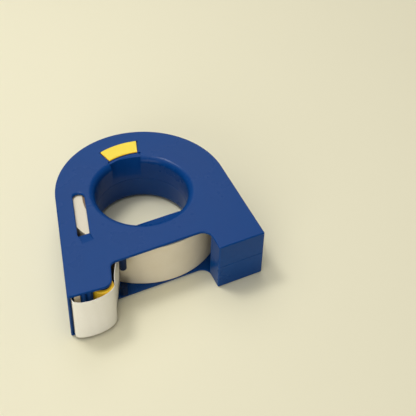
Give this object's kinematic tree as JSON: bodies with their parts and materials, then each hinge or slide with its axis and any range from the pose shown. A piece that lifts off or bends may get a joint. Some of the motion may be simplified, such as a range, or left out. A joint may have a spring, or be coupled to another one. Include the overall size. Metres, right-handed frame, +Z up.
{
  "type": "masking tape dispenser",
  "caption": "Hand-held masking tape dispenser: flat two-part plastic housing with a hand hole, loaded roll, press roller, cutter and slide catch.",
  "frame": {"origin": "middle of the base: the object lies flat on its large lower side", "axes": "+Z up through the flat housing and along the roll's axis, +Y towards the round top, -Y towards the tape exit, +X towards the plain leg"},
  "size_m": [0.148, 0.1446, 0.0402],
  "materials": {
    "housing_blue": "satin moulded blue plastic",
    "trim_yellow": "smooth moulded yellow plastic",
    "roller_yellow": "soft yellow roller cover",
    "tape_paper": "creped cream paper tape",
    "core_card": "brown cardboard",
    "steel": "bright steel",
    "strip_cream": "cream plastic",
    "dark_plastic": "dark moulded plastic"
  },
  "bodies": {
    "housing": {"lower_shell": "housing_blue", "tape_rest": "housing_blue", "blade_strip": "strip_cream", "blade_clip": "steel", "cutter_blade": "steel", "roller_axle": "steel", "lower_guide_post": "dark_plastic", "tape_web": "tape_paper"},
    "cover": {"upper_shell": "housing_blue", "upper_guide_post": "dark_plastic"},
    "catch": {"latch_button": "trim_yellow"},
    "roll": {"tape_roll": "tape_paper", "roll_core": "core_card"},
    "roller": {"roller_sleeve": "roller_yellow", "roller_bush_lower": "dark_plastic", "roller_bush_upper": "dark_plastic"}
  },
  "joints": [
    {"name": "cover_lift", "type": "slide", "parent": "housing", "child": "cover", "axis": [0, 0, 1], "range_m": [0, 0.04]},
    {"name": "catch_slide", "type": "slide", "parent": "cover", "child": "catch", "axis": [-0.0515, -0.9987, 0], "range_m": [0, 0.0015]},
    {"name": "roll_spin", "type": "hinge", "parent": "housing", "child": "roll", "pos_m": [0.01038, 0.00795, 0.02], "axis": [0, 0, 1], "continuous": true},
    {"name": "roller_spin", "type": "hinge", "parent": "housing", "child": "roller", "pos_m": [-0.04837, -0.06125, 0.02], "axis": [0, 0, 1], "continuous": true}
  ],
  "couplings": [
    {"joint": "roller_spin", "follows": "roll_spin", "ratio": -7.65}
  ]
}
